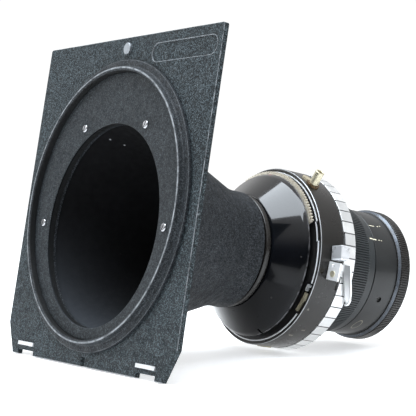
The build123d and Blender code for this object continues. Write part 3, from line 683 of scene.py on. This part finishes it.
ring_sections = [
    lambda i, a: (27.2, ring_start(i, a)),
    lambda i, a: (facet_radius(i, a) - 0.06, ring_start(i, a)),
    lambda i, a: (facet_radius(i, a), ring_start(i, a) + 0.06),
    lambda i, a: (facet_radius(i, a), 75.16),
    lambda i, a: (facet_radius(i, a) - 0.1, 75.33),
    lambda i, a: (facet_radius(i, a) - 0.3, 75.4),
    lambda i, a: (27.6, 75.4),
    lambda i, a: (27.5, 75.34),
    lambda i, a: (16.25, 75.34),
    lambda i, a: (16.25, 74.4),
    lambda i, a: (27.2, 74.4),
]
loft("speed_ring_milled", facets(), ring_sections, silver, "speed_ring", "speed_ring", slot="silver_ring", sharp=25)

lathe("front_plate_turned", [(16.23, 75.5), (24.5, 75.5), (24.5, 76.0, 0.1), (24.2, 76.25, 0.1), (22.0, 76.25, 0.1),
                             (21.8, 76.05, 0.1), (16.23, 76.05)], plate_black, BODY, "front_plate", slot="case_black")

# ------------------------------------------------------------------ front lens group
RIDGES = 168


def ridge_angles():
    return [(k + part) * 360 / RIDGES for k in range(RIDGES) for part in (0.0, 0.12, 0.24, 0.5, 0.76, 0.88)]


def ridge(top, depth):
    """Radius of a knurl with rounded tops, by its place in the pattern."""
    shape = (1.0, 0.85, 0.12, 0.0, 0.12, 0.85)
    return lambda i: top - depth * shape[i % 6]


grip = ridge(21.6, 0.42)
grip_sections = [
    lambda i, a: (18.9, 79.02), lambda i, a: (21.1, 79.02), lambda i, a: (grip(i) - 0.2, 79.08),
    lambda i, a: (grip(i), 79.3), lambda i, a: (grip(i), 88.1), lambda i, a: (grip(i) - 0.2, 88.34),
    lambda i, a: (20.95, 88.4), lambda i, a: (20.85, 88.5), lambda i, a: (20.85, 91.12),
    lambda i, a: (20.78, 91.24), lambda i, a: (20.6, 91.3), lambda i, a: (16.6, 91.3),
    lambda i, a: (16.6, 85.3), lambda i, a: (15.2, 85.3), lambda i, a: (11.6, 79.0), lambda i, a: (11.6, 68.6),
    lambda i, a: (14.72, 68.6), lambda i, a: (14.72, 76.4), lambda i, a: (18.8, 76.4), lambda i, a: (18.9, 76.5),
]
loft("grip_knurled", ridge_angles(), grip_sections, knurl_black, BODY, "front_grip", slot="black_anodised")

barrel = lathe("barrel_turned", [(18.1, 92.4), (16.0, 92.4), (16.0, 91.6), (20.55, 91.6, 0.1), (20.75, 91.75, 0.12),
                                 (20.75, 100.9, 0.1), (20.65, 101.0, 0.1), (18.1, 101.0)],
               barrel_black, BODY, "front_barrel", slot="black_anodised", turns=384)
cut(barrel, drill(-24, 96.3, 0.95, 22.0, 19.35))

rim = ridge(21.9, 0.3)


def fixed(radius, station):
    """A loft section with the same radius and station all the way round."""
    return lambda i, a: (radius, station)


thread = [fixed(20.25 + (0.0 if k % 2 else 0.26), 105.75 - 0.25 * k) for k in range(12)]
bezel_sections = [
    lambda i, a: (18.3, 101.1), lambda i, a: (20.75, 101.1), lambda i, a: (20.86, 101.16), lambda i, a: (21.7, 101.82),
    lambda i, a: (21.72, 101.93), lambda i, a: (21.5, 102.12), lambda i, a: (rim(i) - 0.12, 102.16),
    lambda i, a: (rim(i), 102.3), lambda i, a: (rim(i), 105.6), lambda i, a: (rim(i) - 0.12, 105.78),
    lambda i, a: (21.6, 105.92), lambda i, a: (21.5, 106.1), lambda i, a: (21.3, 106.2), lambda i, a: (20.8, 106.2),
    lambda i, a: (20.4, 106.0), *thread, lambda i, a: (20.25, 102.8), lambda i, a: (18.6, 102.8),
    lambda i, a: (18.3, 102.55),
]
loft("bezel_knurled", ridge_angles(), bezel_sections, bezel_black, BODY, "front_bezel", slot="black_anodised")

# ------------------------------------------------------------------ floor, light, camera
low, high = cad_box
bpy.ops.mesh.primitive_plane_add(size=6, location=(0, 0, low.z - 0.0001))
floor = bpy.context.object
floor.name = "studio_floor"
paper = Nodes("white_paper", roughness=0.35, specular_ior_level=0.3, emission_color=(0.96, 0.98, 1.0, 1),
              emission_strength=0.5)
floor.data.materials.append(paper.set((0.93, 0.935, 0.94, 1), paper.step(paper.noise(0.01), 0.3, 0.7, 0.3, 0.4)))

scene = bpy.context.scene
scene.view_settings.view_transform = "Standard"
scene.view_settings.look = "None"
world = bpy.data.worlds.new("studio")
scene.world = world
world.use_nodes = True
tree = world.node_tree
tree.nodes.clear()
direction = tree.nodes.new("ShaderNodeTexCoord").outputs["Generated"]


def world_math(operation, a, b, clamp=False):
    n = tree.nodes.new("ShaderNodeMath")
    n.operation = operation
    n.use_clamp = clamp
    for socket, value in ((n.inputs[0], a), (n.inputs[1], b)):
        if isinstance(value, bpy.types.NodeSocket):
            tree.links.new(value, socket)
        else:
            socket.default_value = value
    return n.outputs[0]


def world_dot(vector):
    n = tree.nodes.new("ShaderNodeVectorMath")
    n.operation = "DOT_PRODUCT"
    tree.links.new(direction, n.inputs[0])
    n.inputs[1].default_value = vector
    return n.outputs["Value"]


def world_ramp(value, *stops):
    n = tree.nodes.new("ShaderNodeValToRGB")
    tree.links.new(value, n.inputs[0])
    while len(n.color_ramp.elements) < len(stops):
        n.color_ramp.elements.new(0.5)
    for element, (position, level) in zip(n.color_ramp.elements, stops):
        element.position = position
        element.color = (level, level, level, 1)
    return n.outputs["Color"]


camera_place = Vector((0.3451, -0.2086, 0.0048))
back = Vector((0.812, -0.584, 0.0))
height = world_math("MULTIPLY_ADD", world_dot((0, 0, 1)), 0.5)
height.node.inputs[2].default_value = 0.5
towards = world_math("MULTIPLY_ADD", world_dot(tuple(back)), 0.5)
towards.node.inputs[2].default_value = 0.5
by_height = world_ramp(height, (0.0, 0.5), (0.47, 0.5), (0.56, 0.6), (0.72, 1.0), (1.0, 1.25))
dark_side = world_ramp(towards, (0.0, 1.0), (0.5, 1.0), (0.74, 0.2), (1.0, 0.1))
overhead = world_ramp(height, (0.0, 0.0), (0.64, 0.0), (0.78, 1.0), (1.0, 1.0))
room = tree.nodes.new("ShaderNodeMix")
room.data_type = "RGBA"
tree.links.new(overhead, room.inputs[0])
tree.links.new(dark_side, room.inputs[6])
room.inputs[7].default_value = (1, 1, 1, 1)
product = tree.nodes.new("ShaderNodeMix")
product.data_type = "RGBA"
product.blend_type = "MULTIPLY"
product.inputs[0].default_value = 1.0
tree.links.new(by_height, product.inputs[6])
tree.links.new(room.outputs[2], product.inputs[7])
lit = tree.nodes.new("ShaderNodeBackground")
tree.links.new(product.outputs[2], lit.inputs["Color"])
lit.inputs["Strength"].default_value = 0.78
seen = tree.nodes.new("ShaderNodeBackground")
seen.inputs["Color"].default_value = (1, 1, 1, 1)
seen.inputs["Strength"].default_value = 1.05
choose = tree.nodes.new("ShaderNodeMixShader")
tree.links.new(tree.nodes.new("ShaderNodeLightPath").outputs["Is Camera Ray"], choose.inputs[0])
tree.links.new(lit.outputs[0], choose.inputs[1])
tree.links.new(seen.outputs[0], choose.inputs[2])
tree.links.new(choose.outputs[0], tree.nodes.new("ShaderNodeOutputWorld").inputs["Surface"])


def softbox(name, location, target, size, power, colour=(1, 1, 1)):
    data = bpy.data.lights.new(name, "AREA")
    data.shape = "RECTANGLE"
    data.size, data.size_y = size
    data.energy = power
    data.color = colour
    lamp = bpy.data.objects.new(name, data)
    lamp.location = location
    lamp.rotation_euler = (Vector(target) - Vector(location)).to_track_quat("-Z", "Y").to_euler()
    scene.collection.objects.link(lamp)
    return lamp


softbox("key_overhead", (0.02, -0.1, 0.6), (0, 0.04, 0), (0.65, 0.42), 7.0, (0.85, 0.925, 1.0))
softbox("strip_right", (0.75, 0.35, 0.35), (0, 0.06, 0), (0.25, 0.5), 1.1)
softbox("fill_left", (-0.55, -0.6, 0.45), (0, 0, 0), (0.5, 0.5), 2.0, (0.95, 0.98, 1.0))

camera_data = bpy.data.cameras.new("camera")
camera_data.sensor_width = SENSOR
camera_data.lens = LENS_LENGTH
camera_data.clip_start = 0.01
camera = bpy.data.objects.new("camera", camera_data)
scene.collection.objects.link(camera)
look = Vector((-0.812, 0.584, 0.002)).normalized()
right = look.cross(Vector((0, 0, 1))).normalized()
up = right.cross(look)
aim = (look - right * AIM_LEFT - up * AIM_DOWN).normalized()
right = aim.cross(Vector((0, 0, 1))).normalized()
up = right.cross(aim)
rotation = Matrix((right, up, -aim)).transposed()
camera.matrix_world = Matrix.Translation(camera_place) @ rotation.to_4x4()
scene.camera = camera

bpy.context.view_layer.update()
